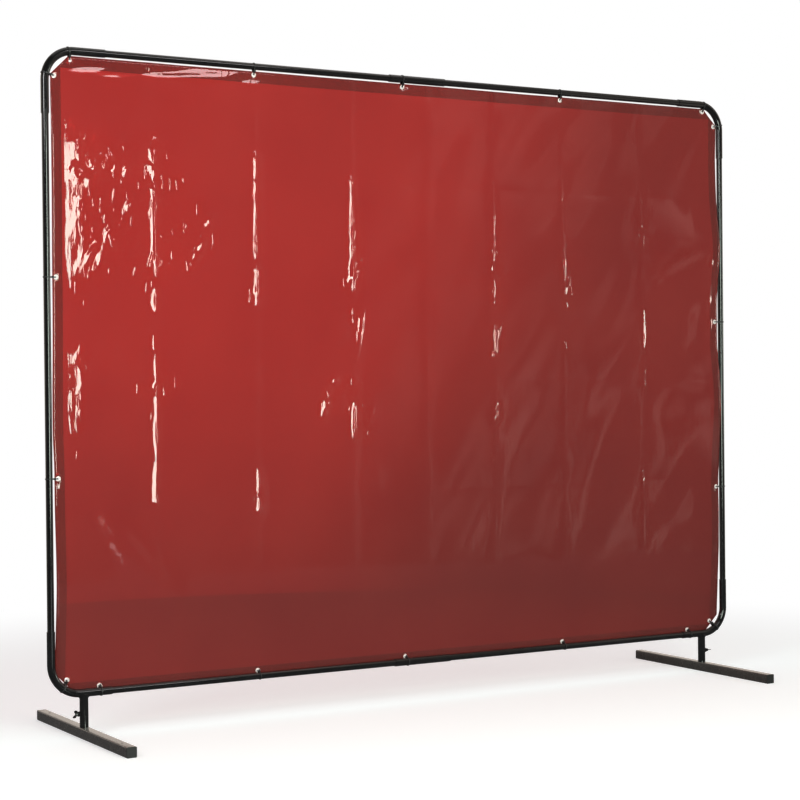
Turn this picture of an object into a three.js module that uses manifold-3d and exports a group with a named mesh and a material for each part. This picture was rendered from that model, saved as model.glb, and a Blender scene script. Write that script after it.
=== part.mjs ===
// Portable welding curtain screen: a round-cornered tube frame standing on two swivelling feet,
// with a sheet of red PVC tied into it by cable ties through eyelets.
// Millimetres, +Z up, X along the screen, Y through it. The origin is on the floor, mid-screen.

import * as THREE from "three";
import { mergeVertices } from "three/addons/utils/BufferGeometryUtils.js";
import Module from "manifold-3d";

const wasm = await Module();
wasm.setup();

// Frame, measured between tube axes
const frame_width = 2440;
const frame_height = 1818;
const rail_height = 128; // floor to the bottom tube's axis
const bend_radius = 86; // axis of a corner elbow
const sleeve_length = 94; // straight end of an elbow, past its bend
const insert_depth = 60; // how far a straight tube goes into a sleeve
const coupler_length = 200;
const tube_end_gap = 2; // between two half tubes inside a coupler

// Tube sections
const tube_od = 20;
const tube_wall = 1.2;
const sleeve_wall = 1.5;
const slip_gap = 0.3; // each side of a sliding or touching fit

// Legs: a post under each bottom elbow, dropped over a spigot on the foot
const post_od = 25;
const post_wall = 1.5;
const post_offset = 10; // end of the bend to the post's axis
const post_end_drop = 5; // the post's cut top, below the bottom tube's axis
const spigot_wall = 1.5;
const spigot_gap = 0.4;
const spigot_length = 72;

// Feet
const foot_length = 700;
const foot_side = 30;
const foot_wall = 1.5;
const foot_corner = 3;
const floor_hole_d = 8;
const floor_hole_inset = 68;
const cap_plate = 2;
const cap_plug_length = 15;
const cap_plug_wall = 2;

// Wing screw that clamps each post to its spigot
const screw_d = 8;
const screw_height = 39; // above the foot's top
const nut_flats = 13;
const nut_thickness = 6.5;
const wing_boss_d = 11;
const wing_boss_length = 6;
const wing_standoff = 1;
const wing_span = 28;
const wing_rise = 6; // how far the wing tips stand past the boss
const wing_thickness = 2.4;
const wing_tip_radius = 4;
const wing_tip_start = -0.2; // the tip's arc, from just below level
const wing_tip_end = 0.8 * Math.PI;

// Curtain
const curtain_thickness = 0.6;
const side_gap = 6; // side tube to the curtain's edge
const top_gap = 4.5; // top tube to the curtain's edge
const curtain_foot = 4; // the curtain's lower edge, above the bottom tube's axis
const corner_clearance = 1; // elbow to the cut corners at the top
const bottom_chamfer = 54;
const lean_start = 300; // above the bottom tube's axis, where the sheet starts to lean back
const lean_end = 60; // and where it hangs straight again, behind the bottom tube

// Eyelets
const eyelet_od = 15;
const eyelet_hole_d = 7;
const eyelet_barrel_d = 8.6;
const eyelet_flange = 0.8;
const eyelet_inset = 10.5; // curtain edge to the eyelet's centre
const row_eyelets = [-568, -54, 547]; // along the top and bottom, from the middle
const bottom_end_inset = 148; // side tube's axis to the last eyelet of the bottom row
const left_eyelets = [610, 1178]; // above the bottom tube's axis
const right_eyelets = [503, 1072];

// Cable ties
const tie_width = 3.6;
const tie_thickness = 1.2;
const tie_tip_radius = 2; // inside the loop where it passes through the eyelet
const tie_head = { along: 6, out: 4.2, across: 5.4 };

// Facets
const tube_facets = 16;
const bend_steps = 7;
const small_facets = 12;

// Places worked out from the sizes above
const side_x = frame_width / 2;
const top_z = rail_height + frame_height;
const tube_r = tube_od / 2;
const sleeve_inner_r = tube_r + slip_gap;
const sleeve_r = sleeve_inner_r + sleeve_wall;
const elbow_leg = bend_radius + sleeve_length;
const post_x = side_x - bend_radius - post_offset;
const post_r = post_od / 2;
const post_inner_r = post_r - post_wall;
const spigot_r = post_inner_r - spigot_gap;
const screw_z = foot_side + screw_height;
const eyelet_half = curtain_thickness / 2 + slip_gap + eyelet_flange;
const lean_back = sleeve_r + slip_gap + eyelet_half; // clears the bottom tube and its sleeves
const curtain_half = side_x - tube_r - side_gap;
const curtain_top = top_z - tube_r - top_gap;
const curtain_bottom = rail_height + curtain_foot;

const black_paint = new THREE.MeshStandardMaterial({ color: 0x17181a, roughness: 0.28, metalness: 0.5 });
const foot_paint = new THREE.MeshStandardMaterial({ color: 0x2b2927, roughness: 0.38, metalness: 0.5 });
const cap_plastic = new THREE.MeshStandardMaterial({ color: 0x1b1b1c, roughness: 0.6, metalness: 0 });
const screw_steel = new THREE.MeshStandardMaterial({ color: 0x2e2f31, roughness: 0.4, metalness: 0.8 });
const red_pvc = new THREE.MeshStandardMaterial({ color: 0xa8362f, roughness: 0.15, metalness: 0 });
const bright_plate = new THREE.MeshStandardMaterial({ color: 0xd9d6d0, roughness: 0.25, metalness: 1 });
const tie_nylon = new THREE.MeshStandardMaterial({ color: 0x1c1c1e, roughness: 0.45, metalness: 0 });

const screen = new THREE.Group();

function addPiece(name, geometry, material) {
  const piece = new THREE.Mesh(geometry, material.clone());
  piece.name = name;
  screen.add(piece);
  return piece;
}

// Solids for joining and cutting

function solidOf(geometry) {
  const bare = geometry.clone();
  bare.deleteAttribute("normal");
  bare.deleteAttribute("uv");
  const merged = mergeVertices(bare, 1e-4);
  const vertProperties = new Float32Array(merged.attributes.position.array);
  const triVerts = new Uint32Array(merged.index.array);
  return new wasm.Manifold(new wasm.Mesh({ numProp: 3, vertProperties, triVerts }));
}

function geometryOf(solid) {
  const mesh = solid.getMesh();
  const geometry = new THREE.BufferGeometry();
  geometry.setAttribute("position", new THREE.BufferAttribute(mesh.vertProperties, 3));
  geometry.setIndex(new THREE.BufferAttribute(mesh.triVerts, 1));
  geometry.computeVertexNormals();
  return geometry;
}

// Outlines and simple shapes

function circlePoints(radius, facets, x = 0, y = 0) {
  const points = [];
  for (let i = 0; i < facets; i++) {
    const turn = (2 * Math.PI * i) / facets;
    points.push(new THREE.Vector2(x + radius * Math.cos(turn), y + radius * Math.sin(turn)));
  }
  return points;
}

function roundedSquare(side, corner) {
  const flat = side / 2 - corner;
  const outline = new THREE.Shape();
  outline.absarc(flat, flat, corner, 0, Math.PI / 2);
  outline.absarc(-flat, flat, corner, Math.PI / 2, Math.PI);
  outline.absarc(-flat, -flat, corner, Math.PI, 1.5 * Math.PI);
  outline.absarc(flat, -flat, corner, 1.5 * Math.PI, 2 * Math.PI);
  return outline.getPoints(3);
}

// A closed band between two outlines, or a filled outline, extruded along +Z from z = 0
function extruded(outer, inner, depth) {
  const shape = new THREE.Shape(outer);
  if (inner) {
    shape.holes.push(new THREE.Path(inner));
  }
  return new THREE.ExtrudeGeometry(shape, { depth, bevelEnabled: false, curveSegments: 1 });
}

// A round solid or tube along +Z from a profile of [radius, height] pairs that closes on itself
function turned(profile, facets) {
  const points = profile.map(([radius, height]) => new THREE.Vector2(radius, height));
  return new THREE.LatheGeometry(points, facets).rotateX(Math.PI / 2);
}

function openTube(outer_r, inner_r, length, facets = tube_facets) {
  return turned([[inner_r, 0], [outer_r, 0], [outer_r, length], [inner_r, length], [inner_r, 0]], facets);
}

function rod(radius, length, facets) {
  return turned([[0, 0], [radius, 0], [radius, length], [0, length]], facets);
}

// Outline in X and Z, extruded through Y about y = 0
function upright(outline, depth) {
  const flat = extruded(outline, null, depth);
  return flat.rotateX(Math.PI / 2).translate(0, depth / 2, 0);
}

// Corner elbows: the centre line has one station at each end of the bend and evenly around it

class ElbowLine extends THREE.Curve {
  getPoint(t) {
    const station = t * (bend_steps + 2);
    if (station <= 1) {
      return new THREE.Vector3(-elbow_leg + station * sleeve_length, 0, 0);
    }
    if (station >= bend_steps + 1) {
      return new THREE.Vector3(0, 0, -bend_radius - (station - bend_steps - 1) * sleeve_length);
    }
    const turn = ((station - 1) / bend_steps) * (Math.PI / 2);
    const x = bend_radius * (Math.sin(turn) - 1);
    return new THREE.Vector3(x, 0, bend_radius * (Math.cos(turn) - 1));
  }

  getPointAt(t) {
    return this.getPoint(t);
  }

  getTangentAt(t) {
    const station = t * (bend_steps + 2);
    const share = THREE.MathUtils.clamp((station - 1) / bend_steps, 0, 1);
    const turn = share * (Math.PI / 2);
    return new THREE.Vector3(Math.cos(turn), 0, -Math.sin(turn));
  }
}

function elbowGeometry() {
  const section = new THREE.Shape(circlePoints(sleeve_r, tube_facets));
  section.holes.push(new THREE.Path(circlePoints(sleeve_inner_r, tube_facets)));
  const options = { steps: bend_steps + 2, curveSegments: 1, extrudePath: new ElbowLine() };
  return new THREE.ExtrudeGeometry(section, options);
}

function addElbow(name, x, z, quarter_turns) {
  const elbow = addPiece(name, elbowGeometry(), black_paint);
  elbow.position.set(x, 0, z);
  elbow.rotation.y = (quarter_turns * Math.PI) / 2;
}

addElbow("top_right_elbow", side_x, top_z, 0);
addElbow("bottom_right_elbow", side_x, rail_height, 1);
addElbow("bottom_left_elbow", -side_x, rail_height, 2);
addElbow("top_left_elbow", -side_x, top_z, 3);

// Straight tubes: the long rails are two halves, butted inside a coupler

function addRail(row, z) {
  const tube_start = side_x - elbow_leg + insert_depth;
  const half_length = tube_start - tube_end_gap / 2;
  for (const [side, start] of [["left", -tube_start], ["right", tube_end_gap / 2]]) {
    const tube = addPiece(`${row}_tube_${side}`, openTube(tube_r, tube_r - tube_wall, half_length), black_paint);
    tube.rotation.y = Math.PI / 2;
    tube.position.set(start, 0, z);
  }
  const coupler = addPiece(`${row}_coupler`, openTube(sleeve_r, sleeve_inner_r, coupler_length), black_paint);
  coupler.rotation.y = Math.PI / 2;
  coupler.position.set(-coupler_length / 2, 0, z);
}

function addSideTube(name, x) {
  const start = rail_height + elbow_leg - insert_depth;
  const length = frame_height - 2 * (elbow_leg - insert_depth);
  const tube = addPiece(name, openTube(tube_r, tube_r - tube_wall, length), black_paint);
  tube.position.set(x, 0, start);
}

addRail("top", top_z);
addRail("bottom", rail_height);
addSideTube("left_side_tube", -side_x);
addSideTube("right_side_tube", side_x);

// Leg posts: saddle-cut under the elbow, with a weld nut for the wing screw.
// Legs are made facing +X and turned round for the left side.

function weldNut() {
  const hexagon = circlePoints(nut_flats / Math.sqrt(3), 6);
  const reach = nut_thickness + post_wall;
  return extruded(hexagon, null, reach).rotateY(Math.PI / 2).translate(post_r - post_wall, 0, screw_z);
}

function postGeometry() {
  const start = foot_side + slip_gap;
  const length = rail_height - post_end_drop - start;
  const across = 3 * post_od;
  const tube = solidOf(openTube(post_r, post_inner_r, length, 24).translate(0, 0, start));
  const bore = solidOf(rod(post_inner_r, length, 24).translate(0, 0, start));
  const nut = solidOf(weldNut()).subtract(bore);
  const saddle = rod(sleeve_r + slip_gap, across, 2 * tube_facets).rotateY(Math.PI / 2);
  const screw_hole = rod(screw_d / 2 + slip_gap, across, tube_facets).rotateY(Math.PI / 2);
  const post = tube
    .add(nut)
    .subtract(solidOf(saddle.translate(-across / 2, 0, rail_height)))
    .subtract(solidOf(screw_hole.translate(0, 0, screw_z)));
  return geometryOf(post);
}

// Feet: square tube with a welded spigot and two floor-bolt holes

function footGeometry() {
  const beam_length = foot_length - 2 * cap_plate - 2 * slip_gap;
  const outer = roundedSquare(foot_side, foot_corner);
  const inner = roundedSquare(foot_side - 2 * foot_wall, foot_corner - foot_wall);
  const beam = extruded(outer, inner, beam_length).rotateX(Math.PI / 2);
  beam.translate(0, beam_length / 2, foot_side / 2);
  const root = foot_side - foot_wall / 2;
  const spigot = openTube(spigot_r, spigot_r - spigot_wall, spigot_length + foot_wall / 2, 24);
  let foot = solidOf(beam).add(solidOf(spigot.translate(0, 0, root)));
  for (const end of [-1, 1]) {
    const hole = rod(floor_hole_d / 2, 2 * foot_side, tube_facets);
    const y = end * (foot_length / 2 - floor_hole_inset);
    foot = foot.subtract(solidOf(hole.translate(0, y, -foot_side / 2)));
  }
  return geometryOf(foot);
}

// End caps: a plate that covers the tube's end and a hollow plug inside it
function capGeometry() {
  const plug_side = foot_side - 2 * foot_wall - 2 * slip_gap;
  const plug_corner = foot_corner - foot_wall;
  const plate = extruded(roundedSquare(foot_side, foot_corner), null, cap_plate);
  const outer = roundedSquare(plug_side, plug_corner);
  const inner = circlePoints(plug_side / 2 - cap_plug_wall, small_facets);
  const plug = extruded(outer, inner, cap_plug_length + cap_plate / 2);
  const cap = solidOf(plate).add(solidOf(plug.translate(0, 0, cap_plate / 2)));
  return geometryOf(cap).rotateX(Math.PI / 2);
}

// Wing screws: a threaded shank, a boss and two ears, along +X from the clamping tip

function wingOutline(side) {
  const root = wing_boss_d / 4;
  const tip_x = wing_span / 2 - wing_tip_radius;
  const tip_y = wing_boss_length + wing_rise - wing_tip_radius;
  const outline = new THREE.Shape();
  outline.moveTo(0, 0);
  outline.lineTo(root, 0);
  outline.lineTo(tip_x + wing_tip_radius / 2, wing_rise - wing_tip_radius);
  outline.absarc(tip_x, tip_y, wing_tip_radius, wing_tip_start, wing_tip_end);
  outline.lineTo(root, wing_boss_length);
  outline.lineTo(0, wing_boss_length);
  const points = outline.getPoints(6);
  return side > 0 ? points : points.map((p) => new THREE.Vector2(-p.x, p.y)).reverse();
}

function wingScrewGeometry() {
  const tip = spigot_r + slip_gap;
  const boss_start = post_r + nut_thickness + wing_standoff;
  let screw = solidOf(rod(screw_d / 2, boss_start - tip + 1, small_facets).translate(0, 0, tip));
  screw = screw.add(solidOf(rod(wing_boss_d / 2, wing_boss_length, tube_facets).translate(0, 0, boss_start)));
  for (const side of [-1, 1]) {
    const wing = extruded(wingOutline(side), null, wing_thickness).translate(0, 0, -wing_thickness / 2);
    screw = screw.add(solidOf(wing.rotateX(Math.PI / 2).translate(0, 0, boss_start)));
  }
  return geometryOf(screw).rotateY(Math.PI / 2);
}

function addLeg(side, direction, wing_turn) {
  const half_turn = direction > 0 ? 0 : Math.PI;
  const x = direction * post_x;
  const post = addPiece(`${side}_post`, postGeometry(), black_paint);
  const foot = addPiece(`${side}_foot`, footGeometry(), foot_paint);
  const screw = addPiece(`${side}_wing_screw`, wingScrewGeometry().rotateX(wing_turn), screw_steel);
  for (const piece of [post, foot, screw]) {
    piece.position.x = x;
    piece.rotation.z = half_turn;
  }
  screw.position.z = screw_z;
  for (const [end, y_side] of [["front", -1], ["rear", 1]]) {
    const cap = addPiece(`${side}_foot_cap_${end}`, capGeometry(), cap_plastic);
    cap.position.set(x, (y_side * foot_length) / 2, foot_side / 2);
    cap.rotation.z = y_side > 0 ? 0 : Math.PI;
  }
}

addLeg("left", -1, THREE.MathUtils.degToRad(-32));
addLeg("right", 1, THREE.MathUtils.degToRad(80));

// Curtain corners at the top are cut so that the sheet clears the inside of the bend
function topChamfer() {
  const reach = bend_radius - sleeve_r - corner_clearance;
  const from_top = bend_radius - tube_r - top_gap;
  const from_side = bend_radius - tube_r - side_gap;
  const along_top = bend_radius - Math.sqrt(reach ** 2 - from_top ** 2) - (tube_r + side_gap);
  const down_side = bend_radius - Math.sqrt(reach ** 2 - from_side ** 2) - (tube_r + top_gap);
  return Math.max(along_top, down_side);
}

const top_chamfer = topChamfer();

// Every eyelet: its name, its place in the sheet, and the tube point and radius that its tie goes round

function railRadius(x) {
  const from_end = side_x - elbow_leg;
  const edge = tie_width;
  const in_sleeve = Math.abs(x) > from_end - edge || Math.abs(x) < coupler_length / 2 + edge;
  return in_sleeve ? sleeve_r : tube_r;
}

function sideRadius(z) {
  const from_end = frame_height / 2 - elbow_leg;
  const middle = rail_height + frame_height / 2;
  return Math.abs(z - middle) > from_end - tie_width ? sleeve_r : tube_r;
}

function cornerEyelet(name, x, z, side, level) {
  const centre_x = side * (side_x - bend_radius);
  const centre_z = level > 0 ? top_z - bend_radius : rail_height + bend_radius;
  const out = new THREE.Vector2(x - centre_x, z - centre_z).normalize();
  const tube_x = centre_x + out.x * bend_radius;
  const tube_z = centre_z + out.y * bend_radius;
  return { name, x, z, tube_x, tube_z, radius: sleeve_r };
}

function eyeletList() {
  const list = [];
  const top_eyelet_z = curtain_top - eyelet_inset;
  const bottom_eyelet_z = curtain_bottom + eyelet_inset;
  const side_eyelet_x = curtain_half - eyelet_inset;
  row_eyelets.forEach((x, i) => {
    const radius = railRadius(x);
    list.push({ name: `top_${i + 1}`, x, z: top_eyelet_z, tube_x: x, tube_z: top_z, radius });
  });
  const end_x = side_x - bottom_end_inset;
  [-end_x, ...row_eyelets, end_x].forEach((x, i) => {
    const radius = railRadius(x);
    list.push({ name: `bottom_${i + 1}`, x, z: bottom_eyelet_z, tube_x: x, tube_z: rail_height, radius });
  });
  for (const [name, side, heights] of [["left", -1, left_eyelets], ["right", 1, right_eyelets]]) {
    heights.forEach((height, i) => {
      const z = rail_height + height;
      const x = side * side_eyelet_x;
      list.push({ name: `${name}_${i + 1}`, x, z, tube_x: side * side_x, tube_z: z, radius: sideRadius(z) });
    });
  }
  const past_cut = top_chamfer + eyelet_inset * (Math.SQRT2 - 1);
  const mid_cut = bottom_chamfer / 2 + eyelet_inset / Math.SQRT2;
  for (const [name, side] of [["left", -1], ["right", 1]]) {
    const upper_x = side * (curtain_half - past_cut);
    const lower_x = side * side_eyelet_x;
    const bottom_x = side * (curtain_half - mid_cut);
    const bottom_z = curtain_bottom + mid_cut;
    list.push(cornerEyelet(`top_${name}_corner_upper`, upper_x, top_eyelet_z, side, 1));
    list.push(cornerEyelet(`top_${name}_corner_lower`, lower_x, curtain_top - past_cut, side, 1));
    list.push(cornerEyelet(`bottom_${name}_corner`, bottom_x, bottom_z, side, -1));
  }
  return list;
}

// How far behind the frame's plane the sheet lies at a height
function sheetOffset(z) {
  const above = z - rail_height;
  const share = THREE.MathUtils.clamp((lean_start - above) / (lean_start - lean_end), 0, 1);
  return lean_back * share;
}

const eyelets = eyeletList();

// Curtain: one flat sheet in the frame's plane that leans back to hang behind the bottom tube

function sheetSection() {
  const half = curtain_thickness / 2;
  const heights = [curtain_bottom, rail_height + lean_end, rail_height + lean_start, curtain_top];
  const front = heights.map((z) => new THREE.Vector2(sheetOffset(z) - half, z));
  const back = heights.map((z) => new THREE.Vector2(sheetOffset(z) + half, z)).reverse();
  return [...front, ...back];
}

function curtainOutline() {
  const w = curtain_half;
  const points = [
    [-w + bottom_chamfer, curtain_bottom],
    [w - bottom_chamfer, curtain_bottom],
    [w, curtain_bottom + bottom_chamfer],
    [w, curtain_top - top_chamfer],
    [w - top_chamfer, curtain_top],
    [-w + top_chamfer, curtain_top],
    [-w, curtain_top - top_chamfer],
    [-w, curtain_bottom + bottom_chamfer],
  ];
  return points.map(([x, z]) => new THREE.Vector2(x, z));
}

function curtainGeometry() {
  const cut_depth = 6 * lean_back;
  const along_x = new THREE.Matrix4().makeBasis(
    new THREE.Vector3(0, 1, 0),
    new THREE.Vector3(0, 0, 1),
    new THREE.Vector3(1, 0, 0),
  );
  const slab = extruded(sheetSection(), null, 2 * side_x).applyMatrix4(along_x).translate(-side_x, 0, 0);
  let sheet = solidOf(slab).intersect(solidOf(upright(curtainOutline(), cut_depth)));
  for (const { x, z } of eyelets) {
    const punch = rod(eyelet_barrel_d / 2 + slip_gap, cut_depth, small_facets).rotateX(Math.PI / 2);
    sheet = sheet.subtract(solidOf(punch.translate(x, cut_depth / 2, z)));
  }
  return geometryOf(sheet);
}

addPiece("curtain", curtainGeometry(), red_pvc);

// Eyelets: a barrel through the sheet with a rolled flange on each face

function eyeletGeometry() {
  const hole = eyelet_hole_d / 2;
  const barrel = eyelet_barrel_d / 2;
  const rim = eyelet_od / 2;
  const inside = eyelet_half - eyelet_flange;
  const profile = [
    [hole, -eyelet_half],
    [rim, -eyelet_half],
    [rim, -inside],
    [barrel, -inside],
    [barrel, inside],
    [rim, inside],
    [rim, eyelet_half],
    [hole, eyelet_half],
    [hole, -eyelet_half],
  ];
  return turned(profile, small_facets).rotateX(Math.PI / 2);
}

// Cable ties: a strap round the tube and through the eyelet, drawn tight, with its head in front

function convexOutline(points) {
  const sorted = [...points].sort((p, q) => p.x - q.x || p.y - q.y);
  const half = (list) => {
    const chain = [];
    for (const p of list) {
      while (chain.length > 1) {
        const [a, b] = chain.slice(-2);
        if ((b.x - a.x) * (p.y - a.y) - (b.y - a.y) * (p.x - a.x) > 1e-6) {
          break;
        }
        chain.pop();
      }
      chain.push(p);
    }
    return chain.slice(0, -1);
  };
  return [...half(sorted), ...half(sorted.reverse())];
}

// The strap's inner or outer outline: x runs from the tube's axis to the eyelet, y goes back
function tieOutline(tube_radius, reach, offset, grow) {
  const facets = 20;
  const around_tube = (tube_radius + slip_gap + grow) / Math.cos(Math.PI / facets);
  const tip_x = reach - tie_thickness / 2 - tie_tip_radius;
  const past_edge = curtain_thickness / 2 + slip_gap + grow;
  const past_rim = eyelet_half + slip_gap + grow;
  return convexOutline([
    ...circlePoints(around_tube, facets),
    ...circlePoints(tie_tip_radius + grow, small_facets, tip_x, offset),
    ...circlePoints(past_rim, 8, reach - eyelet_od / 2, offset),
    ...circlePoints(past_edge, 6, reach - eyelet_inset, offset),
  ]);
}

// The head sits on the strap's straight run in front of the sheet, the longest that leads outward
function tieHead(inner) {
  const runs = inner.map((start, i) => [start, inner[(i + 1) % inner.length]]);
  const front = runs.filter(([start, end]) => start.x < end.x);
  const [start, end] = front.reduce((a, b) => (b[0].distanceTo(b[1]) > a[0].distanceTo(a[1]) ? b : a));
  const angle = Math.atan2(end.y - start.y, end.x - start.x);
  const head = new THREE.BoxGeometry(tie_head.along, tie_head.out, tie_head.across);
  head.translate(0, -tie_head.out / 2, 0).rotateZ(angle);
  return head.translate((start.x + end.x) / 2, (start.y + end.y) / 2, 0);
}

function tieGeometry(tube_radius, reach, offset) {
  const inner = tieOutline(tube_radius, reach, offset, 0);
  const outer = tieOutline(tube_radius, reach, offset, tie_thickness);
  const strap = extruded(outer, inner, tie_width).translate(0, 0, -tie_width / 2);
  return geometryOf(solidOf(strap).add(solidOf(tieHead(inner))));
}

for (const { name, x, z, tube_x, tube_z, radius } of eyelets) {
  const offset = sheetOffset(z);
  const eyelet = addPiece(`eyelet_${name}`, eyeletGeometry(), bright_plate);
  eyelet.position.set(x, offset, z);

  const towards = new THREE.Vector2(x - tube_x, z - tube_z);
  const tie = addPiece(`tie_${name}`, tieGeometry(radius, towards.length(), offset), tie_nylon);
  tie.position.set(tube_x, 0, tube_z);
  tie.rotation.y = -towards.angle();
}

export default screen;
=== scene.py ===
import math
import random

import bmesh
import bpy
from mathutils import Matrix, Vector, geometry, noise


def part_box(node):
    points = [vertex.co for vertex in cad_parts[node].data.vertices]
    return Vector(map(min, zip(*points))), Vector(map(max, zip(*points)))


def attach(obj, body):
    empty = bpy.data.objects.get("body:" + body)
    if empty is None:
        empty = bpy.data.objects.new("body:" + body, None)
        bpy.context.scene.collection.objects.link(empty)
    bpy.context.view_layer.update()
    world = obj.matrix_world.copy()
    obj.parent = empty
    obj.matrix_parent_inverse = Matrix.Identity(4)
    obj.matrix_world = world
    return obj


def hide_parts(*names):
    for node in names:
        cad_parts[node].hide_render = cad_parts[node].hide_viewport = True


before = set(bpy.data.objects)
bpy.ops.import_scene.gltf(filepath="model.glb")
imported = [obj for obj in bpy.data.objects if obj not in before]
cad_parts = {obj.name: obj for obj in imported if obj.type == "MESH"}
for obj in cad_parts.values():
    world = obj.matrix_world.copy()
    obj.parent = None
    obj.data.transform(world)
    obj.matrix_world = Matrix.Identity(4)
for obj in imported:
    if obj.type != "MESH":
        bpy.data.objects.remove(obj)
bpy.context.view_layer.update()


# --------------------
# Corner elbows. Steel tube bent through a quarter turn, its two straight ends
# left as sleeves that the 20 mm frame tubes push into. The whole frame is
# sprayed gloss black after bending, so the paint rounds over the cut rims.
# --------------------
sleeve_r = 0.0118
sleeve_bore = 0.0103
bend_r = 0.086
sleeve_len = 0.094
rim_round = 0.0003
dust_colour = (0.42, 0.39, 0.35, 1)


def middle(node):
    low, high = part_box(node)
    return (low + high) / 2


side_x = middle("right_side_tube").x
top_z = middle("top_coupler").z
rail_z = middle("bottom_coupler").z


def node_group(name, inputs, outputs):
    """An empty shader node group with its sockets, and its two end nodes."""
    group = bpy.data.node_groups.new(name, "ShaderNodeTree")
    for way, labels in (("INPUT", inputs), ("OUTPUT", outputs)):
        for label in labels:
            kind = "NodeSocketVector" if label in ("Vector", "Normal") else "NodeSocketFloat"
            group.interface.new_socket(label, in_out=way, socket_type=kind)
    return group, group.nodes.new("NodeGroupInput"), group.nodes.new("NodeGroupOutput")


def fill(node, values):
    """Puts plain values on a node's inputs."""
    for label, value in values.items():
        node.inputs[label].default_value = value


def add_node(tree, kind, values=None, **settings):
    """A shader node with its settings, and plain values on its inputs."""
    node = tree.nodes.new("ShaderNode" + kind)
    for label, value in settings.items():
        setattr(node, label, value)
    fill(node, values or {})
    return node


def map_range(tree, low, high, to_low=0.0, to_high=1.0, curve="LINEAR"):
    """Turns values from low to high into values from to_low to to_high."""
    span = {"From Min": low, "From Max": high, "To Min": to_low, "To Max": to_high}
    return add_node(tree, "MapRange", span, interpolation_type=curve)


def blend(tree, first, second):
    """A mix of two colours."""
    return add_node(tree, "Mix", {"A": (*first, 1), "B": (*second, 1)}, data_type="RGBA")


def wire(tree, *runs):
    """Links nodes: each run is a node, its output, the next node and its input."""
    for source, output, target, socket in runs:
        tree.links.new(source.outputs[output], target.inputs[socket])


# Uneven spraying, handling and light marks: soft noise turned into a value
# between Low and High.
mottle, start, end = node_group("mottle", ("Vector", "Scale", "Low", "High"), ("Value",))
cloud = add_node(mottle, "TexNoise", {"Detail": 5, "Roughness": 0.6})
spread = map_range(mottle, 0.3, 0.7)
wire(
    mottle, (start, "Vector", cloud, "Vector"), (start, "Scale", cloud, "Scale"),
    (cloud, "Fac", spread, "Value"), (start, "Low", spread, "To Min"),
    (start, "High", spread, "To Max"), (spread, "Result", end, "Value"),
)

# The skin of a sprayed, moulded or rolled surface as a bump of a given depth.
grain, start, end = node_group("grain", ("Vector", "Scale", "Depth"), ("Normal",))
pits = add_node(grain, "TexNoise", {"Detail": 3})
relief = add_node(grain, "Bump")
wire(
    grain, (start, "Vector", pits, "Vector"), (start, "Scale", pits, "Scale"),
    (pits, "Fac", relief, "Height"), (start, "Depth", relief, "Distance"),
    (relief, "Normal", end, "Normal"),
)

# Dust that settles on what faces up.
dust, start, end = node_group("dust", ("Vector", "Amount"), ("Mask",))
facing = add_node(dust, "NewGeometry")
upward = add_node(dust, "SeparateXYZ")
settled = map_range(dust, 0.6, 1.0)
patchy = add_node(dust, "TexNoise", {"Scale": 140, "Detail": 6})
lie = add_node(dust, "Math", operation="MULTIPLY")
share = add_node(dust, "Math", operation="MULTIPLY")
wire(
    dust, (start, "Vector", patchy, "Vector"), (facing, "Normal", upward, "Vector"),
    (upward, "Z", settled, "Value"), (settled, "Result", lie, 0), (patchy, "Fac", lie, 1),
    (lie, "Value", share, 0), (start, "Amount", share, 1), (share, "Value", end, "Mask"),
)


def place_group(tree, group, **values):
    """One use of a node group, reading the piece's own coordinates."""
    used = tree.nodes.new("ShaderNodeGroup")
    used.node_tree = group
    wire(tree, (tree.nodes["coordinates"], "Object", used, "Vector"))
    fill(used, values)
    return used


def new_material(name):
    """A material with its tree and skin, and a node that reads the piece's coordinates."""
    material = bpy.data.materials.new(name)
    material.use_nodes = True
    tree = material.node_tree
    add_node(tree, "TexCoord", name="coordinates")
    return material, tree, tree.nodes["Principled BSDF"]


def finish_of(
    name, colour, worn_colour, rough, metallic=0.0, grain_scale=900, grain_depth=0.00003,
    dusty=0.15, patch_scale=9, coat=None,
):
    """A painted, plated or moulded finish: two close tones, uneven gloss, skin and dust."""
    material, tree, skin = new_material(name)
    tone = blend(tree, colour, worn_colour)
    patches = place_group(tree, mottle, Scale=patch_scale, Low=0.0, High=1.0)
    dusted = add_node(tree, "Mix", {"B": dust_colour}, data_type="RGBA")
    settled_dust = place_group(tree, dust, Amount=dusty)
    gloss = place_group(tree, mottle, Scale=patch_scale * 4, Low=rough * 0.8, High=rough * 1.3)
    surface = place_group(tree, grain, Scale=grain_scale, Depth=grain_depth)
    wire(
        tree, (patches, "Value", tone, "Factor"), (settled_dust, "Mask", dusted, "Factor"),
        (tone, "Result", dusted, "A"), (dusted, "Result", skin, "Base Color"),
        (gloss, "Value", skin, "Roughness"), (surface, "Normal", skin, "Normal"),
    )
    fill(skin, {"Metallic": metallic})
    if coat:
        fill(skin, {"Coat Weight": coat[0], "Coat Roughness": coat[1]})
    return material


black_paint = finish_of(
    "black_paint", (0.0045, 0.0045, 0.0048), (0.008, 0.008, 0.0085), 0.11,
    grain_scale=420, dusty=0.04, coat=(0.15, 0.12),
)


def ring_pair(bm, outer_r, inner_r, place, facets=40):
    """The outer and inner circle of a tube's cut end."""
    edges = set()
    for radius in (outer_r, inner_r):
        made = bmesh.ops.create_circle(bm, segments=facets, radius=radius, matrix=place)
        edges |= {e for v in made["verts"] for e in v.link_edges}
    return list(edges)


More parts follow.
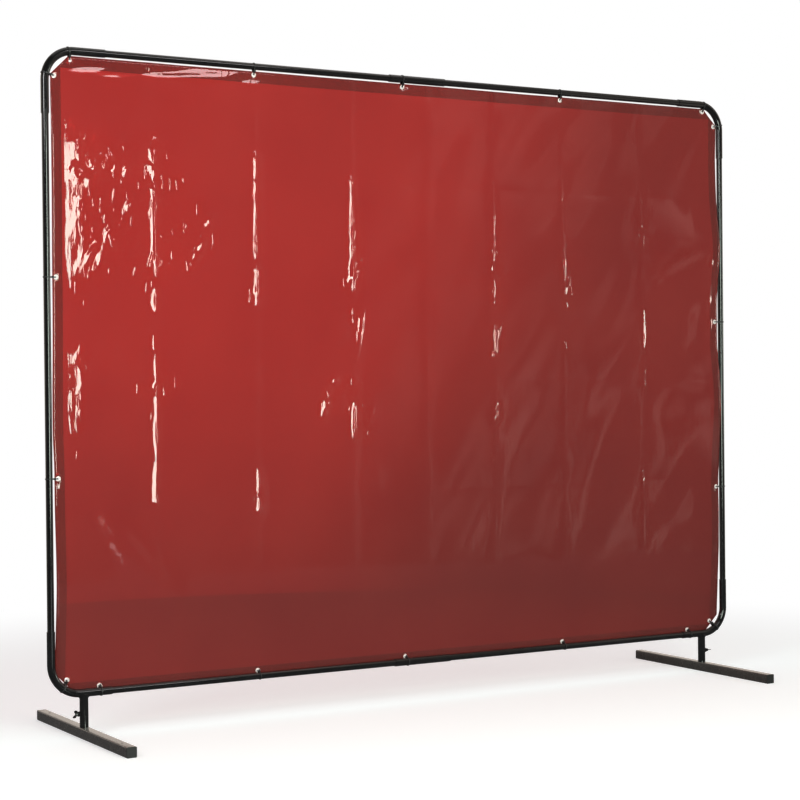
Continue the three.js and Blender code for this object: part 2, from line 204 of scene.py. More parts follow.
def pull(bm, edges, step):
    """Draws a ring of edges out by step and returns the new ring."""
    drawn = bmesh.ops.extrude_edge_only(bm, edges=edges)["geom"]
    points = [g for g in drawn if isinstance(g, bmesh.types.BMVert)]
    bmesh.ops.translate(bm, verts=points, vec=step)
    return [g for g in drawn if isinstance(g, bmesh.types.BMEdge)]


def ends_only(edges):
    """Of the edges that a pull returns, those of the new open rings."""
    return [e for e in edges if len(e.link_faces) < 2]


def close_ends(bm, first, last):
    """Closes a tube's two cut ends, each between its outer and inner ring."""
    bmesh.ops.bridge_loops(bm, edges=ends_only(first))
    bmesh.ops.bridge_loops(bm, edges=last)


def object_of(name, bm, material=None):
    """The mesh made so far, as an object in the scene."""
    mesh = bpy.data.meshes.new(name)
    bm.to_mesh(mesh)
    bm.free()
    thing = bpy.data.objects.new(name, mesh)
    bpy.context.scene.collection.objects.link(thing)
    if material:
        mesh.materials.append(material)
    return thing


def made_piece(name, bm, material, body, nodes=(), rounded=rim_round, sharp=30):
    """Turns a finished bmesh into the named piece, in place on its body."""
    bmesh.ops.remove_doubles(bm, verts=bm.verts, dist=1e-6)
    bmesh.ops.recalc_face_normals(bm, faces=bm.faces)
    for face in bm.faces:
        face.smooth = True
    for edge in bm.edges:
        if len(edge.link_faces) == 2 and edge.calc_face_angle(0) > math.radians(sharp):
            edge.smooth = False
    piece = object_of(name, bm, material)
    if rounded:
        bevel = piece.modifiers.new("rounded edges", "BEVEL")
        bevel.width = rounded
        bevel.segments = 2
        bevel.limit_method = "ANGLE"
        bevel.angle_limit = math.radians(sharp)
        bevel.harden_normals = True
    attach(piece, body)
    if nodes:
        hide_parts(*nodes)
    return piece


def bend_elbow(name, x, z, quarter_turns):
    """An elbow lies with its corner at x, z; turned 0 it is the top right one."""
    leg = bend_r + sleeve_len
    bm = bmesh.new()
    face_x = Matrix.Rotation(math.pi / 2, 4, "Y")
    first = ring_pair(bm, sleeve_r, sleeve_bore, Matrix.Translation((-leg, 0, 0)) @ face_x)
    straight = ends_only(pull(bm, first, (sleeve_len, 0, 0)))
    points = list({v for e in straight for v in e.verts})
    bent = bmesh.ops.spin(
        bm, geom=points + straight, cent=(-bend_r, 0, -bend_r), axis=(0, 1, 0),
        dvec=(0, 0, 0), angle=math.pi / 2, steps=24, use_merge=False, use_duplicate=False,
    )["geom_last"]
    last = [g for g in bent if isinstance(g, bmesh.types.BMEdge)]
    far_end = ends_only(pull(bm, last, (0, 0, -sleeve_len)))
    close_ends(bm, first, far_end)
    turn = Matrix.Translation((x, 0, z)) @ Matrix.Rotation(quarter_turns * math.pi / 2, 4, "Y")
    bmesh.ops.transform(bm, matrix=turn, verts=bm.verts)
    return made_piece(name + "_sleeve", bm, black_paint, "frame_body", [name])


bend_elbow("top_right_elbow", side_x, top_z, 0)
bend_elbow("bottom_right_elbow", side_x, rail_z, 1)
bend_elbow("bottom_left_elbow", -side_x, rail_z, 2)
bend_elbow("top_left_elbow", -side_x, top_z, 3)


# --------------------
# Straight tubes and rail couplers. 20 mm steel tube pushed into the elbows'
# sleeves; the long rails are two lengths that butt inside a plain coupler of
# the sleeves' size. Cut square, deburred and sprayed like the elbows.
# --------------------
tube_r = 0.010
tube_bore = 0.0088


def cut_tube(node, outer_r, inner_r, axis):
    """A straight tube over the whole length of its CAD node."""
    low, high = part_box(node)
    centre = (low + high) / 2
    length = high[axis] - low[axis]
    step = Vector((0, 0, 0))
    step[axis] = length
    begin = centre.copy()
    begin[axis] = low[axis]
    face = Matrix.Rotation(math.pi / 2, 4, "Y") if axis == 0 else Matrix.Identity(4)
    bm = bmesh.new()
    first = ring_pair(bm, outer_r, inner_r, Matrix.Translation(begin) @ face)
    last = ends_only(pull(bm, first, step))
    close_ends(bm, first, last)
    return made_piece(node + "_steel", bm, black_paint, "frame_body", [node])


for rail_tube in ("top_tube_left", "top_tube_right", "bottom_tube_left", "bottom_tube_right"):
    cut_tube(rail_tube, tube_r, tube_bore, 0)
for coupler in ("top_coupler", "bottom_coupler"):
    cut_tube(coupler, sleeve_r, sleeve_bore, 0)
for side_tube in ("left_side_tube", "right_side_tube"):
    cut_tube(side_tube, tube_r, tube_bore, 2)


# --------------------
# Leg posts. 25 mm tube saddle-cut to fit under the bottom elbow and welded all
# round, with a hexagon nut welded on its outer side for the wing screw. The
# lower end drops over the foot's spigot.
# --------------------
post_r = 0.0125
post_bore = 0.011
post_top_drop = 0.005
saddle_gap = 0.0003
bead_r = 0.0021
bead_out = 0.0004
nut_flats = 0.013
nut_thick = 0.0065
nut_sunk = 0.0012
screw_z = 0.069
screw_r = 0.004
screw_gap = 0.0003


def saddle_height(y):
    """Height of the post's cut end, which follows the round under the elbow."""
    reach = sleeve_r + saddle_gap
    return min(rail_z - math.sqrt(max(reach**2 - y**2, 0)), rail_z - post_top_drop)


def close_block(bm, rings):
    """Joins two levels of an outer and an inner ring into a closed block with a hole."""
    for k in (0, 1):
        bmesh.ops.bridge_loops(bm, edges=rings[0][k] + rings[1][k])
        bmesh.ops.bridge_loops(bm, edges=rings[k][0] + rings[k][1])


def cut_post(side, direction):
    foot_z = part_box(side + "_post")[0].z
    x = middle(side + "_foot").x
    bm = bmesh.new()
    first = ring_pair(bm, post_r, post_bore, Matrix.Translation((x, 0, foot_z)), 48)
    last = ends_only(pull(bm, first, (0, 0, 0.05)))
    for point in {v for e in last for v in e.verts}:
        point.co.z = saddle_height(point.co.y)
    close_ends(bm, first, last)
    made_piece(side + "_post_tube", bm, black_paint, "frame_body", [side + "_post"])

    # the weld that closes the saddle joint: a rippled bead all the way round
    bm = bmesh.new()
    place = Matrix.Translation((x + post_r + bead_out, 0, 0)) @ Matrix.Rotation(math.pi / 2, 4, "X")
    made = bmesh.ops.create_circle(bm, segments=10, radius=bead_r, matrix=place)
    edges = list({e for v in made["verts"] for e in v.link_edges})
    bmesh.ops.spin(
        bm, geom=made["verts"] + edges, cent=(x, 0, 0), axis=(0, 0, 1), dvec=(0, 0, 0),
        angle=2 * math.pi, steps=120, use_merge=True, use_duplicate=False,
    )
    for point in bm.verts:
        out = Vector((point.co.x - x, point.co.y))
        turn = math.atan2(out.y, out.x)
        ripple = 1 + 0.12 * math.sin(turn * 30) + 0.1 * noise.noise(Vector((out.x, out.y, 0)) * 300)
        point.co.z = saddle_height(out.y) + point.co.z * ripple
    made_piece(side + "_post_weld", bm, black_paint, "frame_body", rounded=0)

    # the weld nut, its edges eased, with the screw's hole through it
    bm = bmesh.new()
    rings = []
    for along in (0, nut_thick + nut_sunk):
        hexagon = bmesh.ops.create_circle(bm, segments=24, radius=1)["verts"]
        for point in hexagon:
            turn = math.atan2(point.co.y, point.co.x) % (math.pi / 3) - math.pi / 6
            point.co *= nut_flats / 2 / math.cos(turn)
        hole = bmesh.ops.create_circle(bm, segments=24, radius=screw_r + screw_gap)["verts"]
        bmesh.ops.translate(bm, verts=hexagon + hole, vec=(0, 0, along))
        rings.append([list({e for v in ring for e in v.link_edges}) for ring in (hexagon, hole)])
    close_block(bm, rings)
    seat = Matrix.Translation((x + direction * (post_r - nut_sunk), 0, screw_z))
    lay = seat @ Matrix.Rotation(direction * math.pi / 2, 4, "Y")
    bmesh.ops.transform(bm, matrix=lay, verts=bm.verts)
    made_piece(side + "_weld_nut", bm, black_paint, "frame_body", rounded=0.0006)


cut_post("left", -1)
cut_post("right", 1)


# --------------------
# Feet. 30 mm square tube with rounded corners, a floor-bolt hole drilled
# through near each end, and a short round spigot welded upright at the middle
# for the post. Brown-black semi-gloss paint.
# --------------------
foot_side = 0.030
foot_wall = 0.0015
foot_corner = 0.003
hole_r = 0.004
hole_y = 0.282
spigot_r = 0.0106
spigot_top = 0.102

foot_paint = finish_of(
    "foot_paint", (0.0325, 0.0285, 0.0262), (0.043, 0.0355, 0.031), 0.24,
    grain_scale=700, grain_depth=0.00001, dusty=0.5, coat=(0.65, 0.15),
)


def baked_mesh(piece):
    """Fixes a piece's modifiers in its mesh, so that its cutters can go."""
    graph = bpy.context.evaluated_depsgraph_get()
    fixed = bpy.data.meshes.new_from_object(piece.evaluated_get(graph))
    piece.modifiers.clear()
    old = piece.data
    piece.data = fixed
    bpy.data.meshes.remove(old)


def weld_foot(side):
    low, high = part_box(side + "_foot")
    x = (low.x + high.x) / 2
    length = high.y - low.y
    bm = bmesh.new()
    bmesh.ops.create_cube(bm, size=1)
    bmesh.ops.scale(bm, vec=(foot_side, length, foot_side), verts=bm.verts)
    end_faces = [f for f in bm.faces if abs(f.normal.y) > 0.9]
    bmesh.ops.delete(bm, geom=end_faces, context="FACES_ONLY")
    long_edges = [e for e in bm.edges if abs(e.verts[0].co.y - e.verts[1].co.y) > 0.1]
    bmesh.ops.bevel(
        bm, geom=long_edges, offset=foot_corner, offset_type="OFFSET", affect="EDGES",
        segments=5, profile=0.5, material=-1,
    )
    bmesh.ops.translate(bm, verts=bm.verts, vec=(x, 0, foot_side / 2))
    bmesh.ops.recalc_face_normals(bm, faces=bm.faces)
    beam = object_of(side + "_foot_beam", bm, foot_paint)
    wall = beam.modifiers.new("wall", "SOLIDIFY")
    wall.thickness = foot_wall
    wall.offset = -1
    wall.use_even_offset = True
    bm = bmesh.new()
    for end_y in (-hole_y, hole_y):
        place = Matrix.Translation((x, end_y, foot_side / 2))
        bmesh.ops.create_cone(
            bm, cap_ends=True, segments=32, radius1=hole_r, radius2=hole_r, depth=0.05, matrix=place,
        )
    drill = object_of("drill", bm)
    holes = beam.modifiers.new("holes", "BOOLEAN")
    holes.operation = "DIFFERENCE"
    holes.solver = "EXACT"
    holes.object = drill
    baked_mesh(beam)
    bpy.data.objects.remove(drill)
    bm = bmesh.new()
    bm.from_mesh(beam.data)
    bpy.data.objects.remove(beam)
    return bm, x


def spigot_on(bm, x):
    """The round spigot that the post drops over, standing on the beam."""
    base = Matrix.Translation((x, 0, foot_side - foot_wall / 2))
    first = ring_pair(bm, spigot_r, spigot_r - foot_wall, base)
    last = ends_only(pull(bm, first, (0, 0, spigot_top - foot_side + foot_wall / 2)))
    close_ends(bm, first, last)


for side in ("left", "right"):
    foot_bm, foot_x = weld_foot(side)
    spigot_on(foot_bm, foot_x)
    made_piece(
        side + "_foot_beam", foot_bm, foot_paint, side + "_foot_body", [side + "_foot"],
    )


# --------------------
# End caps. Black moulded plastic plugs knocked into the ends of each foot,
# with a flat outer plate, its corners rounded, that covers the tube's cut wall.
# --------------------
cap_plate = 0.002
plug_length = 0.015
plug_gap = 0.0003

cap_plastic = finish_of(
    "cap_plastic", (0.0115, 0.0105, 0.0103), (0.015, 0.015, 0.0155), 0.5,
    grain_scale=1600, grain_depth=0.00006, dusty=0.35,
)


def mould_cap(side, end, y_side):
    x = middle(f"{side}_foot_cap_{end}").x
    low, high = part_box(f"{side}_foot_cap_{end}")
    outer_y = high.y if y_side > 0 else low.y
    bm = bmesh.new()
    for width, depth, near in (
        (foot_side, cap_plate, 0),
        (foot_side - 2 * foot_wall - 2 * plug_gap, plug_length, cap_plate * 0.5),
    ):
        made = bmesh.ops.create_cube(bm, size=1)["verts"]
        bmesh.ops.scale(bm, vec=(width, depth, width), verts=made)
        centre_y = outer_y - y_side * (near + depth / 2)
        bmesh.ops.translate(bm, verts=made, vec=(x, centre_y, foot_side / 2))
        long_edges = [
            e for e in {e for v in made for e in v.link_edges}
            if abs(e.verts[0].co.y - e.verts[1].co.y) > depth / 2
        ]
        bmesh.ops.bevel(
            bm, geom=long_edges, offset=foot_corner if depth == cap_plate else foot_corner - foot_wall,
            offset_type="OFFSET", affect="EDGES", segments=5, profile=0.5, material=-1,
        )
    made_piece(
        f"{side}_foot_plug_{end}", bm, cap_plastic, side + "_foot_body",
        [f"{side}_foot_cap_{end}"], rounded=0.0006,
    )


for side in ("left", "right"):
    mould_cap(side, "front", -1)
    mould_cap(side, "rear", 1)


# --------------------
# Wing screws. M8 screws with a round boss and two pressed ears, dark plated,
# turned through the weld nut to clamp each post on its spigot.
# --------------------
thread_pitch = 0.00125
thread_depth = 0.0006
boss_r = 0.0055
boss_length = 0.006
boss_start = 0.020
wing_span = 0.028
wing_rise = 0.006
wing_thick = 0.0024
wing_tip_r = 0.004

screw_steel = finish_of(
    "screw_steel", (0.045, 0.046, 0.05), (0.09, 0.088, 0.085), 0.32,
    metallic=0.9, grain_scale=1200, grain_depth=0.00002, dusty=0.1, patch_scale=60,
)


def turn_screw(side, direction, degrees):
    """Made pointing along +Z from the clamping tip, then laid on its side."""
    x = middle(side + "_foot").x
    bm = bmesh.new()
    tip = spigot_r + screw_gap
    turns = int((boss_start - tip) / thread_pitch)
    core_r = screw_r - thread_depth
    profile = [(core_r, 0), (screw_r, thread_pitch / 2), (core_r, thread_pitch)]
    corners = [bm.verts.new((r, 0, tip + z)) for r, z in profile]
    edges = [bm.edges.new(pair) for pair in zip(corners, corners[1:])]
    bmesh.ops.spin(
        bm, geom=corners + edges, cent=(0, 0, 0), axis=(0, 0, 1), dvec=(0, 0, thread_pitch / 20),
        angle=2 * math.pi * turns, steps=20 * turns, use_merge=False, use_duplicate=False,
    )
    core_end = boss_start + 0.002
    bmesh.ops.create_cone(
        bm, cap_ends=True, segments=32, radius1=core_r, radius2=core_r, depth=core_end - tip,
        matrix=Matrix.Translation((0, 0, (tip + core_end) / 2)),
    )
    bmesh.ops.create_cone(
        bm, cap_ends=True, segments=40, radius1=boss_r, radius2=boss_r * 0.86, depth=boss_length,
        matrix=Matrix.Translation((0, 0, boss_start + boss_length / 2)),
    )
    for ear in (-1, 1):
        tip_x = wing_span / 2 - wing_tip_r
        tip_z = boss_length + wing_rise - wing_tip_r
        outline = [(boss_r / 2, 0), (tip_x + wing_tip_r / 2, wing_rise - wing_tip_r)]
        for k in range(12):
            angle = -0.2 + (0.8 * math.pi + 0.2) * k / 11
            outline.append((tip_x + wing_tip_r * math.cos(angle), tip_z + wing_tip_r * math.sin(angle)))
        outline.append((boss_r / 2, boss_length))
        flat = [bm.verts.new((ear * u, -wing_thick / 2, boss_start + v)) for u, v in outline]
        face = bm.faces.new(flat)
        thick = bmesh.ops.extrude_face_region(bm, geom=[face])["geom"]
        far_side = [g for g in thick if isinstance(g, bmesh.types.BMVert)]
        bmesh.ops.translate(bm, verts=far_side, vec=(0, wing_thick, 0))
    lay = (
        Matrix.Translation((x, 0, screw_z))
        @ Matrix.Rotation(0 if direction > 0 else math.pi, 4, "Z")
        @ Matrix.Rotation(math.radians(degrees), 4, "X")
        @ Matrix.Rotation(math.pi / 2, 4, "Y")
    )
    bmesh.ops.transform(bm, matrix=lay, verts=bm.verts)
    made_piece(
        side + "_thumb_screw", bm, screw_steel, side + "_screw_body",
        [side + "_wing_screw"], rounded=0.0005, sharp=40,
    )


turn_screw("left", -1, -32)
turn_screw("right", 1, 80)


# --------------------
# Curtain. One sheet of red PVC film about half a millimetre thick, its edges
# folded over and welded into a hem, its corners cut off. It came folded small,
# so sharp fold lines cross it, and the ties pull it into shallow wrinkles.
# --------------------
film = 0.0006
hem_wide = 0.034
hem_low = 0.022
hem_gap = 0.00015
curtain_low, curtain_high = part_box("curtain")
edge_x = curtain_high.x
edge_top = curtain_high.z
edge_foot = curtain_low.z
top_cut = 0.0543
foot_cut = 0.054
lean_start = 0.300
lean_end = 0.060
lean_back = middle("eyelet_bottom_3").y
# each upright fold, and the heights between which it stands out sharply
upright_folds = {
    -0.893: [
        (1.58, 1.69, 0.5), (1.35, 1.585, 1.15), (1.21, 1.28, 0.9),
        (1.00, 1.08, 0.45), (0.81, 0.975, 0.9), (0.63, 0.79, 0.6),
    ],
    -0.566: [
        (1.36, 1.70, 0.70), (1.25, 1.36, 0.9), (1.03, 1.06, 0.7),
        (0.59, 0.76, 0.8), (0.34, 0.42, 0.6),
    ],
    -0.238: [(1.54, 1.64, 0.6), (1.27, 1.56, 1.0), (0.82, 0.95, 0.9)],
    0.030: [(1.10, 1.60, 0.1), (0.30, 0.80, 0.1)],
    0.280: [(1.26, 1.65, 0.55), (1.08, 1.19, 0.9), (0.86, 0.95, 0.8), (0.40, 0.60, 0.3)],
    0.552: [(1.27, 1.67, 0.75), (0.40, 0.60, 0.3)],
    0.873: [(1.50, 1.64, 0.45), (1.10, 1.35, 0.3), (0.40, 0.70, 0.3)],
}
level_folds = [0.324, 0.663, 1.002, 1.343, 1.615]
# the grid that the sheet is bent from, and the square hole in it at each eyelet
grid_step = 0.024
line_gap = 0.0035
fold_lines = (-13, -7.5, -4.2, -2, -0.7, 0.7, 2, 4.2, 7.5, 13)
hole_half = 0.0038
hole_reach = 0.0036

eyelet_names = sorted(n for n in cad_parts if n.startswith("eyelet_"))
eyelet_at = {n: middle(n) for n in eyelet_names}


def smooth(t):
    """Rises softly from nought to one as t does."""
    t = min(max(t, 0.0), 1.0)
    return t * t * (3 - 2 * t)


def hump(u, v=0.0):
    """One at the middle, fading softly to nought all round."""
    return math.exp(-(u**2) - v**2)


def noise_at(*place):
    """Smooth noise at a place, both sides of nought."""
    return noise.noise(Vector(place))


def hang(z):
    """How far behind the frame the sheet hangs at a height."""
    above = z - rail_z
    return lean_back * min(max((lean_start - above) / (lean_start - lean_end), 0), 1)


def lines_between(start, end, folds, holes, finer):
    """Grid lines of the sheet: close together at each fold and beside each eyelet."""
    lines = [start, end]
    for fold in folds:
        lines += [fold + d / 1000 for d in fold_lines]
    for hole in holes:
        lines += [hole - hole_half, hole + hole_half]
    count = round((end - start) / grid_step)
    between = [start + (end - start) * k / count for k in range(1, count)]
    for low, high, fine in finer:
        more = round((high - low) / fine)
        between += [low + (high - low) * k / more for k in range(more + 1)]
    lines = sorted(set(lines))
    for line in sorted(between):
        if min(abs(line - other) for other in lines) > line_gap:
            lines.append(line)
    return sorted(lines)


hole_columns = sorted({round(p.x, 5) for p in eyelet_at.values()})
hole_rows = sorted({round(p.z, 5) for p in eyelet_at.values()})
# bands with closer lines: from, to, step
fine_columns = [
    (-1.19, -0.93, 0.005), (-0.80, -0.70, 0.006), (-0.36, -0.15, 0.0065), (1.150, 1.185, 0.006),
]
fine_rows = [(0.85, 1.24, 0.012), (1.27, 1.79, 0.008), (1.885, 1.915, 0.006)]
columns = lines_between(-edge_x, edge_x, upright_folds, hole_columns, fine_columns)
rows = lines_between(edge_foot, edge_top, level_folds, hole_rows, fine_rows)


def ridge(d, height, reach, soft=0.0016):
    """A fold's cross-section: a peak that falls away on both sides."""
    return height * math.exp(-(math.sqrt(d * d + soft * soft) - soft) / reach)


def near_eyelet(x, z):
    """Nought at the eyelets, one well away from them."""
    close = min(math.hypot(x - p.x, z - p.z) for p in eyelet_at.values())
    return smooth((close - 0.006) / 0.12)


# shallow pulls: centre x, z; half length; half width; lean from upright in
# degrees, to the right at the top; height toward the front
pulls = [
    (-1.112, 1.490, 0.095, 0.019, 2, 0.0024),
    (-1.122, 1.350, 0.040, 0.007, 24, 0.0011),
    (-1.102, 1.355, 0.050, 0.008, 30, 0.0013),
    (-1.045, 1.395, 0.055, 0.014, 33, 0.0023),
    (-0.955, 1.470, 0.035, 0.009, 22, 0.0014),
    (-0.755, 1.385, 0.075, 0.012, 30, 0.0026),
    (-0.715, 1.480, 0.030, 0.010, 25, 0.0020),
    (-1.118, 0.985, 0.085, 0.008, 3, 0.0010),
    (-0.590, 1.225, 0.026, 0.006, 34, 0.0015),
    (-0.213, 1.160, 0.090, 0.008, 9, 0.0062),
    (-0.222, 0.960, 0.080, 0.006, -3, 0.0012),
    (0.262, 1.160, 0.080, 0.007, 8, 0.0025),
    (-1.125, 1.720, 0.075, 0.005, -22, 0.0009),
    (1.166, 1.400, 0.020, 0.006, 0, 0.0017),
    (1.168, 1.290, 0.050, 0.006, 0, 0.0017),
    (1.172, 1.190, 0.035, 0.006, 2, 0.0017),
]
# groups of small creases: centre x, z; reach across and up; how many; their
# half length; lean; how far the leans differ; height
creased_places = [
    (-1.118, 1.640, 0.022, 0.055, 16, 0.016, -8, 40, 0.0012),
    (-1.082, 1.610, 0.016, 0.045, 10, 0.018, 5, 25, 0.0014),
    (-1.040, 1.620, 0.030, 0.035, 10, 0.016, 0, 40, 0.0013),
    (-0.985, 1.620, 0.022, 0.028, 6, 0.013, 8, 30, 0.0013),
    (-1.085, 1.360, 0.035, 0.035, 7, 0.024, 34, 8, 0.0013),
    (-1.035, 1.430, 0.040, 0.050, 7, 0.024, 35, 10, 0.0013),
    (-0.950, 1.490, 0.030, 0.040, 5, 0.020, 32, 12, 0.0013),
    (-0.745, 1.420, 0.050, 0.080, 13, 0.020, 30, 14, 0.0018),
    (-0.893, 1.660, 0.018, 0.055, 9, 0.012, 5, 40, 0.0016),
    (-0.893, 1.343, 0.030, 0.018, 6, 0.010, 30, 60, 0.0015),
    (-0.893, 1.002, 0.035, 0.018, 6, 0.010, 20, 60, 0.0015),
    (-0.820, 1.610, 0.050, 0.050, 4, 0.009, 30, 30, 0.0016),
    (-1.130, 0.980, 0.012, 0.110, 7, 0.018, 8, 14, 0.0007),
    (-0.570, 1.300, 0.012, 0.070, 6, 0.013, 22, 16, 0.0013),
    (-0.566, 0.663, 0.012, 0.050, 5, 0.010, 10, 30, 0.0012),
    (-0.238, 1.343, 0.030, 0.050, 7, 0.014, 15, 30, 0.0020),
    (-0.262, 1.175, 0.022, 0.035, 3, 0.018, 26, 6, 0.0042),
    (-0.310, 0.950, 0.035, 0.060, 7, 0.015, 30, 10, 0.0048),
    (-0.185, 0.900, 0.022, 0.050, 3, 0.015, 24, 8, 0.0054),
    (-0.170, 0.690, 0.040, 0.030, 5, 0.012, 35, 16, 0.0015),
    (0.280, 1.343, 0.022, 0.040, 6, 0.010, 10, 40, 0.0022),
    (0.285, 1.130, 0.022, 0.070, 6, 0.014, 12, 20, 0.0020),
    (0.552, 1.343, 0.022, 0.080, 6, 0.010, 10, 40, 0.0020),
    (0.873, 1.500, 0.018, 0.100, 5, 0.008, 10, 40, 0.0020),
]
chance = random.Random(11)
for px, pz, across, up, count, long, lean, turn, height in creased_places:
    for _ in range(count):
        place = (px + chance.uniform(-across, across), pz + chance.uniform(-up, up))
        size = chance.uniform(0.6, 1.4)
        pulls.append((
            *place, long * size, 0.0048 + 0.12 * long * size,
            lean + chance.uniform(-turn, turn), height * chance.uniform(0.6, 1.1),
        ))


def left_band(z):
    """Where the sheet is crumpled beside its left edge: high up, and a little lower down."""
    upper = smooth((z - 1.26) / 0.12) * smooth((1.84 - z) / 0.12)
    return upper + 0.4 * smooth((z - 0.84) / 0.1) * smooth((1.13 - z) / 0.06)


def crumpled(x, z):
    """How creased the film is at a point, from nought to one."""
    inside = smooth((x + 1.165) / 0.015)
    left = smooth((-x - 0.66) / 0.35) * smooth((z - 1.15) / 0.25) * smooth((1.72 - z) / 0.12) * inside
    column = (0.35 + 0.4 * smooth((z - 1.55) / 0.06)) * smooth((-x - 1.06) / 0.04) * left_band(z)
    column = column * smooth((1.80 - z) / 0.1) * inside
    beside_fold = min(abs(x - fold) for fold in upright_folds)
    folded = 0.30 * math.exp(-beside_fold / 0.02)
    hem = 0.12 * smooth((z - 1.885) / 0.01) * smooth((-x - 0.5) / 0.2)
    close = max(
        hump((x - px) / (across + 0.02), (z - pz) / (up + 0.03))
        for px, pz, across, up, *_ in creased_places
    )
    return min(0.22 * left + column + folded + hem + 0.42 * close * inside, 1.0)


def billow(x, z):
    """The sheet's height out of its flat hang, towards the back, in metres."""
    right = smooth((x + 0.25) / 0.9)
    low = smooth((1.15 - z) / 0.8)
    away = near_eyelet(x, z)
    foot = smooth((z - edge_foot - 0.03) / 0.12)
    out = 0.0
    # a broad belly forward on the right, where the sheet is slack
    out -= 0.010 * hump((x - 0.72) / 0.34, (z - 1.0) / 0.45)
    # the right edge swells out past the tube between its ties
    swell = hump((z - 1.46) / 0.13) + hump((z - 0.92) / 0.15)
    out -= 0.021 * smooth((x - 0.78) / 0.41) * swell
    # slack waves that lean to the right at the top
    along = Vector((x * 0.82 - z * 0.57, 0, x * 0.57 + z * 0.82))
    wave = noise_at(along.x * 3.2, 0.3, along.z * 1.3)
    chop = noise_at(along.x * 9.5, 4.7, along.z * 3.4)
    clear_of_edge = smooth((x + 1.16) / 0.3)
    out += (0.0030 + 0.0060 * right) * wave * clear_of_edge
    out += (0.0006 + 0.0026 * right + 0.0012 * low * right) * chop * clear_of_edge
    # the pull between the lower left eyelet and the bottom rail
    pull_x, pull_z = x + 1.19, z - 0.74
    beside = (pull_x * 0.73 + pull_z * 0.68) / 0.040
    reach = smooth((pull_x - 0.09) / 0.12) * smooth((0.66 - pull_x) / 0.3)
    out -= 0.0060 * math.exp(-beside * beside) * reach
    # fine crumples, most of them near the left edge
    left = smooth((-x - 0.62) / 0.45) * left_band(z) * smooth((x + 1.165) / 0.03)
    tilt = Vector((x * 0.93 - z * 0.36, 0, x * 0.36 + z * 0.93))
    coarse = abs(noise_at(tilt.x * 17, 7.7, tilt.z * 5.5))
    fine = abs(noise_at(tilt.x * 41, 1.7, tilt.z * 15))
    out -= (0.0003 + 0.0022 * left) * (coarse + 0.4 * fine)
    out *= away * foot
    # sharp folds left from packing
    for fold, spans in upright_folds.items():
        if abs(x - fold) > 0.09:
            continue
        sharp = 0.22 + sum(w * smooth((z - a) / 0.02) * smooth((b - z) / 0.02) for a, b, w in spans)
        slow, quick = noise_at(fold * 7, 1.5, z * 12), noise_at(fold * 3, 9.5, z * 34)
        uneven = sharp * (1 + 0.5 * slow + 0.5 * quick)
        drift = 0.006 * noise_at(fold * 11, 2.5, z * 3.5) + 0.0015 * noise_at(fold * 5, 6.5, z * 19)
        strength = 0.0027 + 0.0013 * smooth((fold + 0.6) / 0.4) * smooth((0.5 - fold) / 0.2)
        out -= ridge(x - fold - drift, strength * uneven, 0.0075) * min(away * 1.5, 1)
    for k, fold in enumerate(level_folds):
        uneven = 0.5 + 0.7 * noise_at(x * 4.0, 3.5, fold * 9)
        drift = 0.003 * noise_at(x * 3, 5.5, fold)
        height = 0.0009 * uneven * (1 if k % 2 else -1)
        out -= ridge(z - fold - drift, height, 0.012) * min(away * 1.5, 1) * foot
    for px, pz, long, wide, lean, height in pulls:
        dx, dz = x - px, z - pz
        if abs(dx) + abs(dz) > 3 * long + 3 * wide:
            continue
        slope = math.radians(lean)
        u = dx * math.sin(slope) + dz * math.cos(slope)
        v = dx * math.cos(slope) - dz * math.sin(slope)
        out -= height * math.exp(-((u / long) ** 2) - abs(v / wide) ** 1.5)
    # the top hem ripples between the corner and the first eyelet
    rippled = smooth((z - 1.880) / 0.015) * (0.25 + 0.75 * smooth((-x - 0.45) / 0.3))
    out -= 0.0035 * rippled * noise_at(x * 7, 8.5, z * 38 - x * 4)
    return out


def cut_sheet(keep=None):
    """The flat sheet as a grid standing in the frame, its corners cut off."""
    bm = bmesh.new()
    bmesh.ops.create_grid(bm, x_segments=len(columns) - 1, y_segments=len(rows) - 1, size=0.5)
    for point in bm.verts:
        column = round((point.co.x + 0.5) * (len(columns) - 1))
        row = round((point.co.y + 0.5) * (len(rows) - 1))
        point.co = Vector((columns[column], 0, rows[row]))
    doomed = []
    for face in bm.faces:
        c = face.calc_center_median()
        if any(max(abs(c.x - p.x), abs(c.z - p.z)) < hole_reach for p in eyelet_at.values()):
            doomed.append(face)
        elif keep and not keep(c):
            doomed.append(face)
    bmesh.ops.delete(bm, geom=doomed, context="FACES")
    for side in (-1, 1):
        for level, cut in ((edge_top, top_cut), (edge_foot, foot_cut)):
            up = 1 if level == edge_top else -1
            bmesh.ops.bisect_plane(
                bm, geom=bm.verts[:] + bm.edges[:] + bm.faces[:], dist=1e-6,
                plane_co=(side * (edge_x - cut), 0, level), plane_no=(side, 0, up), clear_outer=True,
            )
    return bm


def edge_pull(x, z):
    """The side edges aren't straight: slack between the ties, tight at them."""
    left = smooth((-x - 1.10) / 0.10)
    right = smooth((x - 1.12) / 0.08)
    tight = 0.0035 * hump((z - 0.90) / 0.20)
    slack = 0.0030 * hump((z - 0.45) / 0.16) + 0.0015 * hump((z - 1.60) / 0.20)
    return left * (slack - tight) - right * 0.003 * hump((z - 0.40) / 0.15)


def hung(bm, behind):
    """Hangs the flat sheet: leant back at the foot, billowed and folded."""
    shape = {}
    for point in bm.verts:
        x, z = point.co.x, point.co.z
        key = (round(x, 6), round(z, 6))
        if key not in shape:
            shape[key] = (x + edge_pull(x, z) * near_eyelet(x, z), hang(z) + billow(x, z))
        point.co.x, point.co.y = shape[key][0], shape[key][1] + behind
    bmesh.ops.recalc_face_normals(bm, faces=bm.faces)


